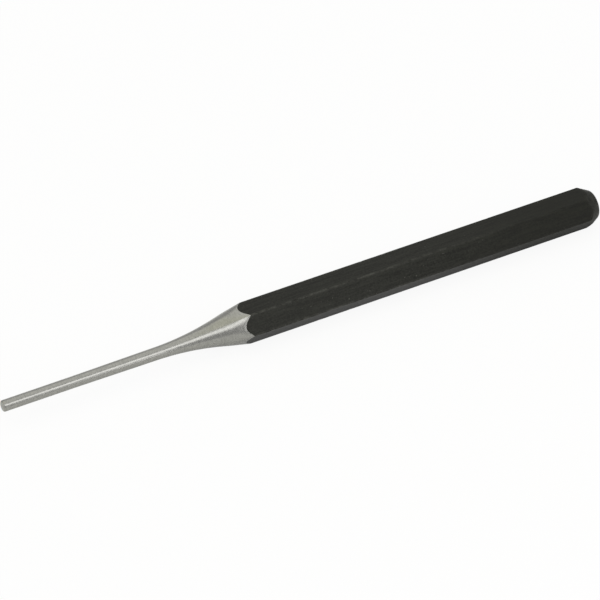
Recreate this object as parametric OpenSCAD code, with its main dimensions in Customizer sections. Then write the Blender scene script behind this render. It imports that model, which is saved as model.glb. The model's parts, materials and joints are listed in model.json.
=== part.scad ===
// Pin punch turned from one length of hexagonal tool steel bar.
// The tool lies on one flat of the bar with its axis along X, the working tip towards -X
// and the struck end towards +X. The origin is on that flat, half way along the tool.
// The steel is one piece. It is drawn as four zones that meet face to face: the pin,
// the neck, the hexagonal shank and the struck end.

/* [Bar] */
// Length of the whole tool
overall_l = 175; // [150:1:230]
// Width of the bar across its flats
across_flats = 10; // [9:0.5:14]
// How much nearer the axis rounding brings each of the bar's six long corners
corner_loss = 0.06; // [0.02:0.01:0.3]

/* [Pin] */
// Diameter of the pin where it is parallel
pin_d = 3.1; // [2:0.1:3.3]
// Length of the parallel stretch, from the tip
pin_parallel_l = 20; // [10:1:30]
// Length of the slightly tapered stretch behind it
pin_taper_l = 24; // [10:1:30]
// Diameter at the thick end of the tapered stretch
pin_root_d = 3.45; // [3.3:0.05:4]
// Width of the broken edge round the tip
tip_break = 0.2; // [0.1:0.05:0.5]

/* [Neck] */
// Radius of the hollow curve that widens the pin into the bar
neck_r = 82; // [50:1:100]
// Angle of the turned cone to the axis, where the curve runs out into it
cone_angle = 13.2; // [11:0.1:15]

/* [Struck end] */
// Length of bar at the back that belongs to the struck end
struck_l = 12; // [10:1:20]
// Diameter of the flat that the hammer meets
face_d = 5; // [4:0.5:6]
// Rounding between that flat and the chamfer
face_r = 1.6; // [0.8:0.1:2]
// Angle of the chamfer to the axis
chamfer_angle = 31.4; // [25:0.1:45]

/* [Hidden] */

// Number of faces drawn round a turned surface
turned_fn = 96;
// Number round a whole circle of which only short arcs are used, at the neck and the corners
fine_fn = 720;
// How far a turned blank reaches past the bar's corners, so that it never trims them
blank_margin = 1;

// The bar: half its width, the distance to a sharp corner, and the axis's height
flat_r = across_flats / 2;
sharp_r = flat_r / cos(30);
axis_z = flat_r;
blank_r = sharp_r + blank_margin;

// Places along the tool are measured from the tip. The pin's length, and its taper to the axis
pin_l = pin_parallel_l + pin_taper_l;
taper_angle = atan((pin_root_d - pin_d) / 2 / pin_taper_l);

// The circle that hollows the neck, and where its curve runs out into the cone
curve_centre_x = pin_l - neck_r * sin(taper_angle);
curve_centre_r = pin_root_d / 2 + neck_r * cos(taper_angle);
curve_end_x = curve_centre_x + neck_r * sin(cone_angle);
curve_end_r = curve_centre_r - neck_r * cos(cone_angle);

// The neck ends a little below the flats' own radius, so the cone first meets the flats
// inside the shank, and cuts the six scallops there
neck_end_share = 0.97;
neck_end_r = flat_r * neck_end_share;
neck_end_x = curve_end_x + (neck_end_r - curve_end_r) / tan(cone_angle);
cone_top_x = neck_end_x + (blank_r - neck_end_r) / tan(cone_angle);

// The struck end: centre of the rounding, and where the chamfer leaves it
struck_x = overall_l - struck_l;
round_x = overall_l - face_r;
chamfer_r = face_d / 2 + face_r * cos(chamfer_angle);
chamfer_x = round_x + face_r * sin(chamfer_angle);
chamfer_top_x = chamfer_x - (blank_r - chamfer_r) / tan(chamfer_angle);

// Lays a shape that was turned about Z, with the tip at its origin, along the tool's own axis
module along_tool()
    translate([-overall_l / 2, 0, axis_z])
        rotate([0, 90, 0])
            children();

// A solid turned from an outline whose points are [radius, distance from the tip]
module turned()
    rotate_extrude($fn = turned_fn)
        children();

// The bar's cross-section: a hexagon with a flat below, its corners rounded to one circle
module hexagon()
    intersection() {
        polygon([for (corner = [0:5])
            sharp_r * [cos(30 + 60 * corner), sin(30 + 60 * corner)]]);
        circle(r = sharp_r - corner_loss, $fn = fine_fn);
    }

// A length of bar between two distances from the tip
module bar(from_x, to_x)
    translate([0, 0, from_x])
        linear_extrude(to_x - from_x)
            hexagon();

// The pin: parallel at the tip, then slightly thicker towards its root
module pin()
    color([0.64, 0.64, 0.61])
        along_tool()
            turned()
                polygon([
                    [0, 0],
                    [pin_d / 2 - tip_break, 0],
                    [pin_d / 2, tip_break],
                    [pin_d / 2, pin_parallel_l],
                    [pin_root_d / 2, pin_l],
                    [0, pin_l]
                ]);

// The neck: a cone with a hollow curve in front, tangent to the cone and to the pin's taper
module neck()
    color([0.62, 0.62, 0.60])
        along_tool()
            turned()
                difference() {
                    polygon([
                        [0, pin_l],
                        [pin_root_d / 2, pin_l],
                        [curve_end_r, curve_end_x],
                        [neck_end_r, neck_end_x],
                        [0, neck_end_x]
                    ]);
                    translate([curve_centre_r, curve_centre_x])
                        circle(r = neck_r, $fn = fine_fn);
                }

// The shank: bar whose front is turned to the same cone, which leaves a scallop on each flat
module hex_shank()
    color([0.13, 0.13, 0.12])
        along_tool()
            intersection() {
                bar(neck_end_x, struck_x);
                turned()
                    polygon([
                        [0, neck_end_x],
                        [neck_end_r, neck_end_x],
                        [blank_r, cone_top_x],
                        [blank_r, struck_x],
                        [0, struck_x]
                    ]);
            }

// The struck end: bar with a turned chamfer, a rounded edge and a small flat for the hammer
module struck_end()
    color([0.16, 0.16, 0.15])
        along_tool()
            intersection() {
                bar(struck_x, overall_l);
                turned()
                    union() {
                        polygon([
                            [0, struck_x],
                            [blank_r, struck_x],
                            [blank_r, chamfer_top_x],
                            [chamfer_r, chamfer_x],
                            [face_d / 2, overall_l],
                            [0, overall_l]
                        ]);
                        translate([face_d / 2, round_x])
                            circle(r = face_r, $fn = turned_fn);
                    }
            }

pin();
neck();
hex_shank();
struck_end();
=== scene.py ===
# %% [markdown]
# # A pin punch, turned from one hexagonal bar
# A pin punch drives pins out of their holes. It is a single piece of tool steel with four zones: a
# thin pin, a neck that swells in a hollow curve, a hexagonal shank to hold, and an end for the
# hammer. The frame holds the zones as plain solids at their real size. This lesson lays a finely
# meshed skin on each of them and finishes the front as ground steel and the rest as black oxide.
# The frame comes first, because every skin takes its place and size from it.

# %% Load the frame
import json
import bpy
import numpy as np
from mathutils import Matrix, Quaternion, Vector


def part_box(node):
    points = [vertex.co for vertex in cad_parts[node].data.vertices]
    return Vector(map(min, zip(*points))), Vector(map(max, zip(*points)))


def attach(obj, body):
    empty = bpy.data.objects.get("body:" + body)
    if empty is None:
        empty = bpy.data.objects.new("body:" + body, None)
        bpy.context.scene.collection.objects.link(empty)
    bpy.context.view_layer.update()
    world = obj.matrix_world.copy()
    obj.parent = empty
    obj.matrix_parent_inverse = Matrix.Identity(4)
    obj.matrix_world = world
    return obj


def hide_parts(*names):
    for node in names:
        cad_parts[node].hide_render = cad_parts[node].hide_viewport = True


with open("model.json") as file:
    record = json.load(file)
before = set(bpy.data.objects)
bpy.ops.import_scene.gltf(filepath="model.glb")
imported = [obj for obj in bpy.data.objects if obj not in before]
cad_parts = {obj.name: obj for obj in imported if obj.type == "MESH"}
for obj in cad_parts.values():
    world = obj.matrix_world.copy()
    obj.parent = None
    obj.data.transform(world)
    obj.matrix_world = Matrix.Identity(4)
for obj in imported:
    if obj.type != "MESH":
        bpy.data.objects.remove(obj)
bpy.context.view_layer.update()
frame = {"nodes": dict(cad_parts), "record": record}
print("Zones in the frame:", ", ".join(sorted(frame["nodes"])))

# %% [markdown]
# ## Sizes
# A turned part is described by places along its axis and by radii. They could all be typed in, but
# most are read off the frame, so that the skins fit it: a node's box says where a zone starts and
# ends, how wide the bar is, and how high the axis lies above the flat that the tool rests on. The
# few that a box can't tell, such as the radius of the hollow curve, are written in the cell that
# needs them, as the workshop drawing would give them.

# %% Places along the axis, and radii
mm = 0.001

pin_low, pin_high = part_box("pin")
shank_low, shank_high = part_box("hex_shank")
struck_low, struck_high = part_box("struck_end")
mounts = {mount["name"]: mount for mount in frame["record"]["mounts"]}
parallel = mounts["working_pin"]["dims"]

tip_x = pin_low.x
pin_end_x = pin_high.x
struck_x = struck_low.x
face_x = struck_high.x

flat_radius = (shank_high.z - shank_low.z) / 2
corner_radius = (shank_high.y - shank_low.y) / 2
axis_z = shank_low.z + flat_radius

tip_break = 0.2 * mm
pin_radius = parallel["r_mm"] * mm
parallel_end_x = tip_x + tip_break + parallel["length_mm"] * mm
pin_end_radius = (pin_high.z - pin_low.z) / 2

print(f"Bar {2000 * flat_radius:.2f} mm across flats, {2000 * corner_radius:.2f} mm across corners")
print(f"Tool {1000 * (face_x - tip_x):.1f} mm long, pin {2000 * pin_radius:.2f} mm thick")

# %% [markdown]
# ## The camera
# The photograph was taken from far away with a long lens, so the tool hardly narrows with distance.
# A camera could be turned by hand until the picture fits. But its height and direction also follow
# from how wide each flat of the hexagon looks: a regular hexagon shows three flats in those
# proportions from one direction only. That direction, a distance, a lens and the point in the
# middle of the picture place the camera fully.

# %% Camera
view_azimuth = np.radians(-27.39)
view_elevation = np.radians(41.36)
view_distance = 1.301
view_centre = Vector((-1.505 * mm, 0, 6.51 * mm))
long_lens = 298.4
sensor_width = 36

towards_camera = Vector((
    np.sin(view_azimuth) * np.cos(view_elevation),
    -np.cos(view_azimuth) * np.cos(view_elevation),
    np.sin(view_elevation),
))
camera_data = bpy.data.cameras.new("camera")
camera_data.lens = long_lens
camera_data.sensor_width = sensor_width
camera = bpy.data.objects.new("camera", camera_data)
camera.location = view_centre + view_distance * towards_camera
camera.rotation_euler = towards_camera.to_track_quat("Z", "Y").to_euler()
bpy.context.scene.collection.objects.link(camera)
bpy.context.scene.camera = camera
print("Camera at", [round(value, 3) for value in camera.location])

# %% [markdown]
# ## The bar's section
# Drawn hexagonal bar has flat sides and small round corners. The section could be a polygon with a
# Bevel modifier, but every skin here must share the same directions round the axis, so that zones
# meet point to point. So the section is worked out once: for each of the six sides, points across
# the flat, crowded towards its ends, and then points round the corner arc. What is kept is each
# point's direction from the axis and its distance from it.

# %% Directions round the axis and the section's radius in each
flat_points = 22
corner_points = 8
side_turn = np.pi / 3
half_turn = np.pi / 6
half_side = flat_radius * np.tan(half_turn)


def hexagon_section():
    """Direction and distance of the points of a round-cornered hexagon.
    A corner arc of radius c has its centre at (flat_radius - c) / cos 30 from the axis, so
    corner_radius = sharp - c * (1 / cos 30 - 1), which gives c. The flat then ends at
    (flat_radius - c) * tan 30 on both sides of its middle."""
    sharp = flat_radius / np.cos(half_turn)
    rounding = (sharp - corner_radius) / (1 / np.cos(half_turn) - 1)
    centre = (flat_radius - rounding) / np.cos(half_turn)
    half_flat = (flat_radius - rounding) * np.tan(half_turn)

    across = half_flat * np.sin(np.linspace(-np.pi / 2, np.pi / 2, flat_points))
    turn = np.linspace(0, side_turn, corner_points + 1)[1:-1]
    out = np.concatenate([
        np.full(flat_points, flat_radius),
        centre * np.cos(half_turn) + rounding * np.cos(turn),
    ])
    side = np.concatenate([across, centre * np.sin(half_turn) + rounding * np.sin(turn)])

    normal = np.radians(30 + 60 * np.arange(6))[:, None]
    y = out * np.cos(normal) - side * np.sin(normal)
    z = out * np.sin(normal) + side * np.cos(normal)
    return np.arctan2(z, y).ravel(), np.hypot(y, z).ravel(), rounding


direction, section_radius, corner_rounding = hexagon_section()
side_number = np.round((direction - half_turn) / side_turn)
off_middle = section_radius * np.sin(direction - (side_number * side_turn + half_turn))
print(f"{len(direction)} points round the bar, corners rounded to {1000 * corner_rounding:.2f} mm")

# %% [markdown]
# ## The turned outline
# The lathe gives the front one outline, spun about the axis: parallel, then a slight taper, a long
# hollow curve that leaves the taper smoothly, and a cone that leaves the curve smoothly. A curve
# object could draw it. A formula is used because it gives the radius at any place along the axis,
# and the skins ask for it at places that differ from one direction to the next.

# %% Radius of the ground front
neck_curve = 82 * mm
cone_angle = np.radians(13.2)

taper_angle = np.arctan((pin_end_radius - pin_radius) / (pin_end_x - parallel_end_x))
curve_centre_x = pin_end_x - neck_curve * np.sin(taper_angle)
curve_centre_r = pin_end_radius + neck_curve * np.cos(taper_angle)
curve_end_x = curve_centre_x + neck_curve * np.sin(cone_angle)
curve_end_r = curve_centre_r - neck_curve * np.cos(cone_angle)


def ground_radius(x):
    """Radius of the turned front: constant, then growing along the taper, then along a circle
    (centre_r minus the root of neck_curve squared less the squared way from centre_x), then
    along the cone."""
    along_curve = np.clip(x - curve_centre_x, -neck_curve, neck_curve)
    return np.select(
        [x < parallel_end_x, x < pin_end_x, x < curve_end_x],
        [
            pin_radius,
            pin_radius + (x - parallel_end_x) * np.tan(taper_angle),
            curve_centre_r - np.sqrt(neck_curve ** 2 - along_curve ** 2),
        ],
        curve_end_r + (x - curve_end_x) * np.tan(cone_angle),
    )


print(f"The curve runs out {1000 * (curve_end_x - tip_x):.1f} mm from the tip")

# %% [markdown]
# ## Where the black begins
# The bar is blackened and the front ground bright afterwards. The wheel reaches a little on to each
# flat, so the black starts in six arches: furthest forward near the middle of a flat, and further
# back at the corners, where the rounding blunts the points between them. Held by hand against the
# wheel, no two arches come out alike. A mask in one material could draw the line. Here the skins of
# the neck and the shank meet along it instead, so the colour edge is as sharp as the mesh.

# %% Line between bright and black
arch_front = np.array([68.25, 68.08, 68.11, 68.09, 68.25, 68.2]) * mm
arch_shift = np.array([0.1, -0.5, 0.2, 0.0, -0.2, 0.3]) * mm
arch_steepness = np.array([1.3, 1.1, 1.2, 1.4, 1.5, 1.3])
arch_corner = np.array([69.55, 70.03, 69.8, 69.9, 69.95, 69.85]) * mm
arch_blunting = 0.5


def soft_min(a, b, blend):
    """The smaller of a and b, rounded where they are closer than blend:
    min(a, b) - blend * h * h / 4, with h = 1 - |a - b| / blend, and never below 0."""
    h = np.clip(1 - np.abs(a - b) / blend, 0, None)
    return np.minimum(a, b) - blend * h * h / 4


def black_start(flat, off):
    """Place along the axis where the black starts. Share is 0 at the arch's front and 1 at the
    corner on that side; between them the line falls back by steepness * share squared of the
    way to the corner, levelling off before it."""
    from_front = off - arch_shift[flat]
    after = from_front > 0
    share = np.abs(from_front) / (half_side - np.where(after, 1, -1) * arch_shift[flat])
    corner = np.where(after, arch_corner[flat], arch_corner[flat - 1])
    back = soft_min(arch_steepness[flat] * share ** 2, 1, arch_blunting)
    back = back / soft_min(arch_steepness[flat], 1, arch_blunting)
    return tip_x + arch_front[flat] + back * (corner - arch_front[flat])


black_x = black_start(side_number.astype(int) % 6, off_middle)
arches_x = black_x.min()
print(f"Arches from {1000 * (arches_x - tip_x):.2f} to {1000 * (black_x.max() - tip_x):.2f} mm")

# %% [markdown]
# ## Where the cone meets the bar
# The cone runs out through the six flats, and there the smaller of the two radii is the surface. A
# boolean would cut the same scallops, but it leaves slivers, while this rule alone draws them on
# even rings. On the real tool two things soften the meeting. Polishing has rounded the crease, so
# the smaller radius is taken with a blend. And close to the black line the wheel has let the ground
# surface down a few tenths of a millimetre, so that it reaches the flats at the line itself and no
# flat, mirror-bright rim is left in front of it.

# %% Cone let down on to the flats
polish_blend = 0.12 * mm
let_down_length = 4.4 * mm
let_down_bend = 1.5
let_down = np.clip(ground_radius(black_x) - section_radius, 0, None)


def met_radius(x):
    """The ground outline less let_down times a share, or the bar's section where that is smaller,
    blended. The share is 0 at let_down_length in front of the black line, 1 at the line, and
    between them the way covered to the power let_down_bend."""
    share = np.clip(1 - (black_x - x) / let_down_length, 0, 1) ** let_down_bend
    return soft_min(ground_radius(x) - let_down * share, section_radius, polish_blend)


print(f"Let down by up to {1000 * let_down.max():.2f} mm at the arches")

# %% [markdown]
# ## Small departures from the drawing
# A hand-ground front is never a perfect solid of revolution, and a bar that has been handled has
# little nicks on its long corners. Both are only hundredths of a millimetre, but a highlight makes
# them visible. A Displace modifier with a texture could make either. Formulas keep them within
# known limits: the waves are a few sines, and the nicks are shallow bell-shaped hollows, most of
# them small, at seeded places along the corners.

# %% Waves and nicks
wave_height = 0.002 * mm
wave_shares = (1, 0.7, 0.4)
wave_lengths = (7.3 * mm, 3.1 * mm, 1.7 * mm)

nick_count = 60
nick_depth = 0.05 * mm
nick_width = 0.5 * mm
nicks_from_x = arches_x + 3 * mm
nicks_to_x = struck_x - 12 * mm
chance = np.random.default_rng(11)
nick_x = chance.uniform(nicks_from_x, nicks_to_x, nick_count)
nick_corner = np.radians(60 * chance.integers(0, 6, nick_count))
nick_length = chance.uniform(0.2, 0.8, nick_count) * mm
nick_size = chance.uniform(0.25, 1, nick_count) ** 3


def waves(x, angle):
    """Slow swelling of the ground surface: sines of x, each shifted round the axis, less the sum
    of their heights, so that they only take steel off."""
    shifts = (1.3 * np.sin(angle), 2 * angle, 3 * angle + 1)
    swelling = sum(
        share * np.sin(2 * np.pi * (x - tip_x) / length + shift)
        for share, length, shift in zip(wave_shares, wave_lengths, shifts)
    )
    return wave_height * (swelling - sum(wave_shares))


def nicks(x, angle):
    """Depth of the nicks: for each, its size times a bell in x and a bell round the corner."""
    width = nick_width / corner_radius
    depth = np.zeros(np.broadcast(x, angle).shape)
    for middle, corner, length, size in zip(nick_x, nick_corner, nick_length, nick_size):
        round_axis = np.angle(np.exp(1j * (angle - corner)))
        bell = np.exp(-(((x - middle) / length) ** 2) - (round_axis / width) ** 2)
        depth += nick_depth * size * bell
    return depth


print(f"{nick_count} nicks, none deeper than {1000 * nick_depth:.2f} mm")

# %% [markdown]
# ## From rings to a closed skin
# Every zone is a stack of rings with the same points round the axis. Quads join each ring to the
# next, and a fan to a pole closes each end, so the mesh is watertight. Bmesh's spin would need the
# outline to be the same all round, which the scallops don't allow. How far the finish is lightened,
# from 0 to 1, is stored with each point, because the shape knows best where that lies: partly real
# wear where hands and hammers rub it, and partly a painted highlight along the corners and on the
# end's chamfer.

# %% Mesh helper
around = len(direction)
sharp_from = np.radians(35)


def closed_skin(name, x, radius, wear_and_highlight):
    """A mesh whose point (ring, step) is at x along the axis, and at
    (radius * cos direction, axis_z + radius * sin direction) across it."""
    shape = np.broadcast(x, radius, direction).shape
    x, radius, wear_and_highlight = (np.broadcast_to(values, shape) for values in (x, radius, wear_and_highlight))
    rings = np.stack([x, radius * np.cos(direction), axis_z + radius * np.sin(direction)], axis=2)
    poles = np.array([[x[0].mean(), 0, axis_z], [x[-1].mean(), 0, axis_z]])
    points = np.concatenate([rings.reshape(-1, 3), poles])

    index = np.arange(shape[0] * around).reshape(shape)
    following = np.roll(index, -1, axis=1)
    quads = np.stack([index[:-1], following[:-1], following[1:], index[1:]], axis=2).reshape(-1, 4)
    first_pole = np.full(around, index.size)
    last_pole = np.full(around, index.size + 1)
    fans = np.concatenate([
        np.stack([first_pole, following[0], index[0]], axis=1),
        np.stack([last_pole, index[-1], following[-1]], axis=1),
    ])

    mesh = bpy.data.meshes.new(name)
    mesh.from_pydata(points.tolist(), [], quads.tolist() + fans.tolist())
    mesh.shade_smooth()
    mesh.set_sharp_from_angle(angle=sharp_from)
    # Stored per point: real wear plus a painted highlight on corners and chamfer, 0 to 1.
    stored = mesh.attributes.new("wear_and_highlight", "FLOAT", "POINT")
    stored.data.foreach_set("value", np.append(wear_and_highlight.ravel(), [0, 0]).astype(np.float32))
    skin = bpy.data.objects.new(name, mesh)
    bpy.context.scene.collection.objects.link(skin)
    print(f"{name}: {len(points)} points, {len(mesh.polygons)} faces")
    return skin


print(f"Each ring will have {around} points")

# %% [markdown]
# ## The pin
# The tip is ground flat and its edge is broken, so it doesn't chip or scratch the hole that it
# enters. Use has crowned it by about a tenth of a millimetre and rounded the edge further. A
# cylinder with a Bevel modifier would have the edge but not the crown. The rings therefore start in
# the middle of the face, run out across it along a shallow parabola, turn round the edge from that
# slope, and then follow the pin in steps short enough to carry the waves.

# %% Ground pin
step = 0.25 * mm
tip_crown = 0.12 * mm
tip_rounding = 0.5 * mm
crown_rings = 8
smallest_ring = 0.1
edge_rings = 10
waves_grow_over = 2 * mm

crown_slope = np.arctan(2 * tip_crown / (pin_radius - tip_rounding))
crown_edge = pin_radius - tip_rounding * (1 - np.sin(crown_slope))
edge_turn = np.linspace(crown_slope, np.pi / 2, edge_rings)
crown_r = np.linspace(smallest_ring, 1, crown_rings + 1)[:-1] * crown_edge
edge_x = tip_x + tip_crown + tip_rounding * (np.cos(crown_slope) - np.cos(edge_turn))
pin_run = np.arange(edge_x[-1], pin_end_x, step)[1:]
pin_x = np.concatenate([
    tip_x + tip_crown * (crown_r / crown_edge) ** 2,
    edge_x,
    pin_run,
    [pin_end_x],
])[:, None]
pin_r = np.concatenate([
    crown_r,
    pin_radius - tip_rounding * (1 - np.sin(edge_turn)),
    ground_radius(pin_run),
    [pin_end_radius],
])[:, None]
wave_share = np.clip((pin_x - tip_x) / waves_grow_over, 0, 1)
pin_r = pin_r + wave_share * waves(pin_x, direction)
ground_pin = closed_skin("ground_pin", pin_x, pin_r, wear_and_highlight=0)

# %% [markdown]
# ## The neck
# The neck swells from the pin to the bar, and its bright surface ends in the six arches. Its skin
# could be cut off along them, but the cut would leave slivers. So its rings start as circles and
# end as the arches themselves: each point's place along the axis is slid from the plain ring to the
# black line by the same share, and the rings lean over gradually.

# %% Ground neck
neck_lean_x = tip_x + 58 * mm
neck_lean_rings = 70

neck_run = np.arange(pin_end_x, neck_lean_x, step)[:, None] * np.ones(around)
lean_share = np.linspace(0, 1, neck_lean_rings)[:, None]
neck_x = np.concatenate([neck_run, neck_lean_x + lean_share * (black_x - neck_lean_x)])
neck_r = met_radius(neck_x) + waves(neck_x, direction)
ground_neck = closed_skin("ground_neck", neck_x, neck_r, wear_and_highlight=0)

# %% [markdown]
# ## The shank
# The black bar starts at the black line, its rings straighten out again within a few millimetres,
# and from there it is the plain section all the way, with the nicks taken off its corners. A hand
# rubs the long corners, most near the front and hardly at all at the head. The lightening of the
# corners is partly that wear and partly a painted highlight: a bright line along the corners that
# fades towards the head, as the light on them does. Blender can find edges by Pointiness, but only
# where the mesh is even, so the wear and painted highlight are worked out with the shape instead.

# %% Black shank
straight_x = tip_x + 76 * mm
shank_lean_rings = 50
crowding = 1.5
wave_fade = 4 * mm
# Corner lightening: part wear, part painted highlight that fades towards the head.
front_wear_and_highlight = 0.65
head_wear_and_highlight = 0.05
wear_and_highlight_width = 0.33 * mm
wear_and_highlight_falls_from_x = arches_x + 18 * mm


def black_radius(x):
    """As the front, but the waves fade out behind the arches, and the corners are nicked."""
    fading = np.exp(-((x - arches_x) / wave_fade) ** 2)
    return met_radius(x) + waves(x, direction) * fading - nicks(x, direction)


def corner_wear_and_highlight(x):
    """Wear of the long corners with a painted highlight on them: a bell round each corner, whose
    height falls from front_wear_and_highlight to head_wear_and_highlight along the bar as 3 t
    squared less 2 t cubed, so the painted highlight fades towards the head."""
    to_corner = half_side - np.abs(off_middle)
    t = np.clip((x - wear_and_highlight_falls_from_x) / (struck_x - wear_and_highlight_falls_from_x), 0, 1)
    height = front_wear_and_highlight + (head_wear_and_highlight - front_wear_and_highlight) * t ** 2 * (3 - 2 * t)
    return height * np.exp(-(to_corner / wear_and_highlight_width) ** 2)


lean_share = np.linspace(0, 1, shank_lean_rings)[:, None] ** crowding
shank_run = np.append(np.arange(straight_x, struck_x, step)[1:], struck_x)[:, None]
shank_x = np.concatenate([
    black_x + lean_share * (straight_x - black_x),
    shank_run * np.ones(around),
])
black_shank = closed_skin("black_shank", shank_x, black_radius(shank_x), corner_wear_and_highlight(shank_x))

# %% [markdown]
# ## The struck end
# A hammer would mushroom a square end, so it is chamfered and rounded down to a small flat. The
# chamfer is turned, so it scallops the flats as the cone does in front. The end was dressed by
# hand, so its face leans a few degrees. Turning the whole end would part it from the bar, so each
# point's place along the axis is slid by its distance from the axis times that lean, and the slide
# fades out along the bar. The end is lightened too, a little at the chamfer's rim, and more the
# further the surface was turned down: partly rubbing, and partly a painted highlight where the
# chamfer catches the light.

# %% Black struck end
face_radius = 2.47 * mm
face_rounding = 1.77 * mm
chamfer_angle = np.radians(29.5)
edge_blend = 0.08 * mm
face_lean_y = 0.041
face_lean_z = -0.047
lean_reach = 9 * mm
lean_room = 1.05
rim_wear_and_highlight = 0.22
rim_width = 0.3 * mm
turned_wear_and_highlight = 0.52
turned_depth = 1.6 * mm
rounding_rings = 24
face_rings = 9
middle_share = 0.08

chamfer_end_r = face_radius + face_rounding * np.cos(chamfer_angle)
chamfer_end_x = face_x - face_rounding * (1 - np.sin(chamfer_angle))
bar_run = np.arange(struck_x, chamfer_end_x, step / 2)
round_turn = np.linspace(chamfer_angle, np.pi / 2, rounding_rings)
face_run = np.linspace(1, middle_share, face_rings + 1)[1:] * face_radius
struck_end_x = np.concatenate([
    bar_run,
    face_x - face_rounding * (1 - np.sin(round_turn)),
    np.full(face_run.size, face_x),
])[:, None]
turned_end_r = np.concatenate([
    chamfer_end_r + (chamfer_end_x - bar_run) * np.tan(chamfer_angle),
    face_radius + face_rounding * np.cos(round_turn),
    face_run,
])[:, None]
struck_r = soft_min(turned_end_r, section_radius, edge_blend) - nicks(struck_end_x, direction)

slide = struck_r * (face_lean_y * np.cos(direction) + face_lean_z * np.sin(direction))
slide = slide - lean_room * face_radius * np.hypot(face_lean_y, face_lean_z)
slide = slide * np.clip((struck_end_x - struck_x) / lean_reach, 0, 1)
# Lighter rim and chamfer: part rubbing, part painted highlight on the chamfer.
on_rim = np.exp(-((turned_end_r - section_radius) / rim_width) ** 2)
turned_off = np.clip((section_radius - struck_r) / turned_depth, 0, 1)
black_struck_end = closed_skin(
    "black_struck_end",
    struck_end_x + slide,
    struck_r,
    np.maximum(corner_wear_and_highlight(struck_end_x), rim_wear_and_highlight * on_rim + turned_wear_and_highlight * turned_off),
)

# %% [markdown]
# ## Finishes: helpers
# A finish is a small network of nodes. It could be drawn in the shader editor, but a script is
# quicker to read if each node is placed with its inputs in one call. An input is either given a
# value or joined to the output of a node placed before it. Effects that more than one material may
# use are node groups, which take named inputs and put out one value.

# %% Node helpers
def feed(tree, node, inputs):
    """Gives each named or numbered input its value, or joins it to the output given instead."""
    for key, value in inputs.items():
        if isinstance(value, bpy.types.NodeSocket):
            tree.links.new(value, node.inputs[key])
        else:
            node.inputs[key].default_value = value


def place(tree, kind, inputs=None, **settings):
    """Adds a node, makes its own settings, and feeds its inputs."""
    node = tree.nodes.new(kind)
    for key, value in settings.items():
        setattr(node, key, value)
    feed(tree, node, inputs or {})
    return node


def on_object(tree):
    """Where a point of the object lies, in metres, so that the scale of a pattern is real."""
    return place(tree, "ShaderNodeTexCoord").outputs["Object"]


def noise(tree, vector, scale, detail, roughness):
    """A cloudy value round 0.5, with scale clouds to each unit of the vector."""
    return place(tree, "ShaderNodeTexNoise", {
        "Vector": vector, "Scale": scale, "Detail": detail, "Roughness": roughness,
    }).outputs["Fac"]


def remap(tree, value, low, high, to_low=0, to_high=1, curve="LINEAR"):
    """Takes low to to_low and high to to_high, straight or by another curve, and stays between."""
    return place(tree, "ShaderNodeMapRange", {
        "Value": value, "From Min": low, "From Max": high, "To Min": to_low, "To Max": to_high,
    }, interpolation_type=curve).outputs["Result"]


def calculate(tree, operation, a, b):
    """The product, sum or the like of two values."""
    return place(tree, "ShaderNodeMath", {0: a, 1: b}, operation=operation).outputs[0]


def new_group(name, inputs, output):
    """A node group with named inputs (socket type and default) and one named output. Gives back
    the group, what is given to it, and the node that puts out its result."""
    group = bpy.data.node_groups.new(name, "ShaderNodeTree")
    for key, (kind, value) in inputs.items():
        socket = group.interface.new_socket(key, in_out="INPUT", socket_type=kind)
        socket.default_value = value
    group.interface.new_socket(output, in_out="OUTPUT", socket_type="NodeSocketFloat")
    return group, place(group, "NodeGroupInput").outputs, place(group, "NodeGroupOutput")


print(f"{len(bpy.data.node_groups)} node groups before the first is made")

# %% [markdown]
# ## Streaks
# A grinding wheel leaves lines round the axis, and a drawing die leaves marks along the bar. Both
# could be Wave textures, but those are too regular. Noise stretched along one direction looks
# right for both, so one group serves the two finishes.

# %% Streaks
streaks, given, put_out = new_group(
    "Streaks",
    {"Stretch": ("NodeSocketVector", (1000, 1000, 1000)), "Detail": ("NodeSocketFloat", 3)},
    "Value",
)
stretched = place(streaks, "ShaderNodeVectorMath", {
    0: on_object(streaks), 1: given["Stretch"]}, operation="MULTIPLY").outputs[0]
streak_noise = noise(streaks, stretched, scale=1, detail=given["Detail"], roughness=0.6)
feed(streaks, put_out, {"Value": streak_noise})
print(f"{streaks.name}: {len(streaks.nodes)} nodes")

# %% [markdown]
# ## Specks
# Where the black film is thin, steel shows through it in tiny light specks. Voronoi cells would
# give round dots at even distances. The few highest peaks of a fine noise are as irregular as the
# real ones.

# %% Specks
specks, given, put_out = new_group(
    "Specks",
    {"Scale": ("NodeSocketFloat", 1500), "From": ("NodeSocketFloat", 0.66)},
    "Mask",
)
speck_noise = noise(specks, on_object(specks), scale=given["Scale"], detail=1, roughness=0.5)
peaks = remap(specks, speck_noise, low=given["From"], high=0.8, curve="SMOOTHSTEP")
feed(specks, put_out, {"Mask": peaks})
print(f"{specks.name}: {len(specks.nodes)} nodes")

# %% [markdown]
# ## Corner wear and painted highlight
# Rubbing brightens edges in patches, never as an even line, and a painted highlight is laid on the
# same corners. The skins say how far each point is lightened. A rough noise, pushed towards black
# and white, breaks that up into patches.

# %% Corner wear and painted highlight
wear, given, put_out = new_group("Corner wear and highlight", {"Scale": ("NodeSocketFloat", 400)}, "Mask")
wear_and_highlight = place(wear, "ShaderNodeAttribute", attribute_name="wear_and_highlight").outputs["Fac"]
wear_noise = noise(wear, on_object(wear), scale=given["Scale"], detail=5, roughness=0.75)
patches = remap(wear, wear_noise, low=0.38, high=0.62)
feed(wear, put_out, {"Mask": calculate(wear, "MULTIPLY", patches, wear_and_highlight)})
print(f"{wear.name}: {len(wear.nodes)} nodes")

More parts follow.
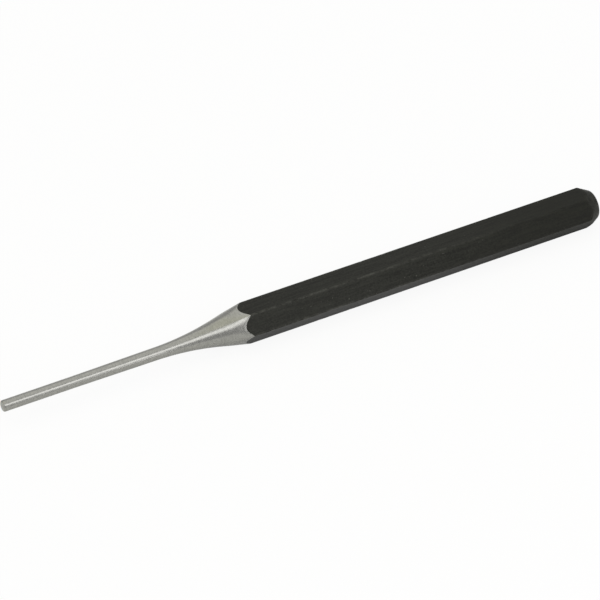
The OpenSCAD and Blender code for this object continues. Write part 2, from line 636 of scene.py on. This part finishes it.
# %% [markdown]
# ## Ground steel
# The lines that the wheel leaves are short along X and long across it. They are fine and nearly
# even, with weak broader ones among them, and slow clouds lie over them where the polish varies. An
# anisotropic highlight would stretch the reflections but show no line. Here the lines change three
# things a little: the colour, the roughness and, through a Bump node, the slope. The metal itself
# is neutral grey with a hint of yellow.

# %% Ground steel
def mix(tree, kind, factor, a, b):
    """a * (1 - factor) + b * factor, of numbers (FLOAT) or colours (RGBA)."""
    node = place(tree, "ShaderNodeMix", {"Factor": factor, "A": a, "B": b}, data_type=kind)
    return node.outputs["Result"]


def add_group(tree, group, **inputs):
    """Places a group in a material with its own values."""
    return place(tree, "ShaderNodeGroup", inputs, node_tree=group).outputs[0]


def new_material(name):
    """An empty node material with its Principled BSDF."""
    material = bpy.data.materials.new(name)
    material.use_nodes = True
    return material, material.node_tree, material.node_tree.nodes["Principled BSDF"]


def ground_steel_material():
    """Grey metal: the lines give roughness and slope, lines and clouds together give the colour."""
    dull_steel = (0.275, 0.273, 0.257, 1)
    bright_steel = (0.395, 0.393, 0.370, 1)
    line_depth = 0.0045 * mm
    broad_share = 0.12
    cloud_share = 0.2

    material, tree, steel = new_material("ground_steel")
    fine_lines = add_group(tree, streaks, Stretch=(2500, 1500, 1500), Detail=2)
    broad_lines = add_group(tree, streaks, Stretch=(1300, 120, 120), Detail=2)
    clouds = add_group(tree, streaks, Stretch=(300, 160, 160), Detail=2)
    lines = mix(tree, "FLOAT", broad_share, fine_lines, broad_lines)
    tone = remap(tree, mix(tree, "FLOAT", cloud_share, lines, clouds), low=0.3, high=0.7)
    slope = place(tree, "ShaderNodeBump", {"Strength": 1, "Distance": line_depth, "Height": lines})
    feed(tree, steel, {
        "Base Color": mix(tree, "RGBA", tone, dull_steel, bright_steel),
        "Roughness": remap(tree, lines, low=0.3, high=0.7, to_low=0.25, to_high=0.29),
        "Normal": slope.outputs["Normal"],
        "Metallic": 1,
    })
    return material


ground_steel = ground_steel_material()
print(f"{ground_steel.name}: {len(ground_steel.node_tree.nodes)} nodes")

# %% [markdown]
# ## Black oxide
# Black oxide is a thin film grown on the steel and sealed with oil. It is dark, hardly shines and
# shows the bar's drawing marks as long faint streaks. Tiny light specks show where the film is
# thin, and the edges are a little brighter, partly from rubbing and partly from a painted highlight
# along the corners. A plain dark colour would show none of this. The oil lies unevenly along the
# marks, so it is a coat whose weight follows them. The film is smoother near the ground front,
# where polishing and handling reach it, and it turns duller and more even towards the head.

# %% Black oxide
def black_oxide_material():
    """Dark film: the marks and mottling give its tone, which sets colour, roughness, slope and oil.
    From changes_from_x to the head it turns rougher, its specks fade and its oil evens out."""
    dark_film = (0.0022, 0.0023, 0.0014, 1)
    light_film = (0.0095, 0.0100, 0.0066, 1)
    speck_colour = (0.075, 0.075, 0.065, 1)
    worn_and_highlight_colour = (0.085, 0.085, 0.075, 1)
    most_oil = 0.156
    head_oil = 0.078
    mark_depth = 0.014 * mm
    mottling_share = 0.55
    front_specks = 0.8
    head_specks = 0.1
    front_roughness = 0.36
    head_roughness = 0.57
    changes_from_x = arches_x + 44 * mm

    material, tree, black = new_material("black_oxide")
    draw_marks = add_group(tree, streaks, Stretch=(130, 1700, 1700), Detail=3)
    mottling = add_group(tree, streaks, Stretch=(1900, 2400, 2400), Detail=3)
    tone = mix(tree, "FLOAT", mottling_share, draw_marks, mottling)
    lightness = remap(tree, tone, low=0.41, high=0.59)
    along = place(tree, "ShaderNodeSeparateXYZ", {0: on_object(tree)}).outputs["X"]
    towards_head = remap(tree, along, low=changes_from_x, high=struck_x, curve="SMOOTHSTEP")

    film = mix(tree, "RGBA", lightness, dark_film, light_film)
    light_specks = add_group(tree, specks, Scale=1300, From=0.73)
    speck_share = mix(tree, "FLOAT", towards_head, front_specks, head_specks)
    seen_specks = calculate(tree, "MULTIPLY", light_specks, speck_share)
    specked = mix(tree, "RGBA", seen_specks, film, speck_colour)
    # Corners lightened by wear plus a painted highlight, from the values stored on the skins.
    rubbed_and_highlit = add_group(tree, wear, Scale=480)
    unevenness = remap(tree, tone, low=0.3, high=0.7, to_low=-0.06, to_high=0.06)
    roughness = mix(tree, "FLOAT", towards_head, front_roughness, head_roughness)
    oil = mix(tree, "FLOAT", lightness, 0, most_oil)
    slope = place(tree, "ShaderNodeBump", {"Strength": 1, "Distance": mark_depth, "Height": tone})
    feed(tree, black, {
        "Base Color": mix(tree, "RGBA", rubbed_and_highlit, specked, worn_and_highlight_colour),
        "Roughness": calculate(tree, "ADD", unevenness, roughness),
        "Normal": slope.outputs["Normal"],
        "Coat Weight": mix(tree, "FLOAT", towards_head, oil, head_oil),
        "Coat Roughness": 0.42,
        "Specular IOR Level": 0.22,
        "Specular Tint": (1, 1, 0.918, 1),
    })
    return material


black_oxide = black_oxide_material()
print(f"{black_oxide.name}: {len(black_oxide.node_tree.nodes)} nodes")

# %% [markdown]
# ## Each skin takes its zone's place
# The real tool is one piece of steel, and its four zones never move against each other. A skin
# could be laid over its solid, but the solid would show through wherever wear has taken steel off.
# So each skin stands for one node of the frame instead, and rides on the tool's only body.

# %% Put the skins on the frame
for skin, node, material, slot in (
    (ground_pin, "pin", ground_steel, "ground_steel"),
    (ground_neck, "neck", ground_steel, "ground_steel"),
    (black_shank, "hex_shank", black_oxide, "black_steel"),
    (black_struck_end, "struck_end", black_oxide, "black_steel"),
):
    skin.data.materials.append(material)
    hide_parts(node)
    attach(skin, "root")
    print(f"{skin.name} stands for {node}")

# %% [markdown]
# ## Floor
# The tool lies on a plain white table, so bright in the photograph that it blends with the
# background. More light would do that too, but it would wash out the tool. Instead the table is a
# white diffuse sheet of which a share glows at strength 1: a large share for the camera, so the
# background stays white while the shadow still shows, and a small one for reflections. Light that
# bounces off the table comes from the plain white sheet.

# %% Floor
floor_half = 3.0
floor_white = (0.94, 0.94, 0.94, 1)
seen_glow = 0.9
mirrored_glow = 0.1
floor_mesh = bpy.data.meshes.new("floor")
floor_mesh.from_pydata(
    [(-floor_half, -floor_half, 0), (floor_half, -floor_half, 0),
     (floor_half, floor_half, 0), (-floor_half, floor_half, 0)], [], [(0, 1, 2, 3)])
floor = bpy.data.objects.new("floor", floor_mesh)
bpy.context.scene.collection.objects.link(floor)


def floor_material():
    """White sheet of which a share glows at strength 1: seen_glow for rays from the camera, and
    mirrored_glow for rays off or through the tool, so the shadow shows more in reflections."""
    material, tree, sheet = new_material("floor_white")
    feed(tree, sheet, {"Base Color": floor_white, "Roughness": 1, "Specular IOR Level": 0})
    glow = place(tree, "ShaderNodeEmission", {"Strength": 1})
    rays = place(tree, "ShaderNodeLightPath").outputs
    seen = calculate(tree, "MULTIPLY", rays["Is Camera Ray"], seen_glow)
    off_tool = calculate(tree, "MAXIMUM", rays["Is Glossy Ray"], rays["Is Transmission Ray"])
    mirrored = calculate(tree, "MULTIPLY", off_tool, mirrored_glow)
    both = place(tree, "ShaderNodeMixShader", {
        "Fac": calculate(tree, "MAXIMUM", seen, mirrored), 1: sheet.outputs[0], 2: glow.outputs[0]})
    feed(tree, tree.nodes["Material Output"], {"Surface": both.outputs[0]})
    return material


floor_mesh.materials.append(floor_material())
print(f"Floor {2 * floor_half:.0f} m across")

# %% [markdown]
# ## Light
# Polished steel shows what it mirrors, so an even sky would leave it flat. The photograph's bands
# come from soft boxes, and area lamps stand in for them, each given by how bright it looks in a
# mirror, where 1 is white. Two broad ones hang overhead, the left one yellowish. One high in front
# draws the bright line along the ground steel. A weak one stands behind, a big dim one at the left
# and a weak one low in front, which lifts the flats that face the camera. A small bright one beside
# the bar lights the front half of those flats. A grey room fills in what the lamps leave dark.

# %% Light
room_grey = 0.515
world = bpy.data.worlds.new("room")
world.use_nodes = True
sky = world.node_tree.nodes["Background"]
feed(world.node_tree, sky, {"Color": (room_grey, room_grey, room_grey, 1)})
bpy.context.scene.world = world


def soft_box(name, at, width, height, brightness, tint=(1, 1, 1), aim=(0, 0, 0), roll=0):
    """A rectangular lamp turned towards aim, then rolled about the line between them. Its power
    is brightness * pi * its area."""
    data = bpy.data.lights.new(name, "AREA")
    data.shape = "RECTANGLE"
    data.size = width
    data.size_y = height
    data.energy = brightness * np.pi * width * height
    data.color = tint
    lamp = bpy.data.objects.new(name, data)
    lamp.location = at
    away = Vector(at) - Vector(aim)
    turn = away.to_track_quat("Z", "Y") @ Quaternion((0, 0, 1), roll)
    lamp.rotation_euler = turn.to_euler()
    bpy.context.scene.collection.objects.link(lamp)


soft_box("overhead left", (-0.5, 0.35, 1.1), width=1.0, height=1.6, brightness=0.5,
         tint=(1, 1, 0.7), aim=(-0.5, 0, 0))
soft_box("overhead right", (0.5, 0.35, 1.1), width=1.0, height=1.6, brightness=0.535,
         tint=(1, 1, 0.94), aim=(0.5, 0, 0))
soft_box("high in front", (0.15, -0.75, 0.85), width=1.1, height=0.53, brightness=1.84,
         roll=np.radians(-28))
soft_box("behind", (0.85, 1.6, 0.5), width=1.4, height=1.0, brightness=0.19)
soft_box("left", (-1.6, 0.05, 0.55), width=2.6, height=1.0, brightness=0.69)
soft_box("low in front", (0.48, -1.03, 0.37), width=0.6, height=0.42, brightness=0.3)
soft_box("beside the flats", (0.092, -0.3, 0.08), width=0.07, height=0.1, brightness=2.1)
bpy.context.scene.view_settings.view_transform = "Standard"
print("Lamps:", ", ".join(light.name for light in bpy.data.lights))
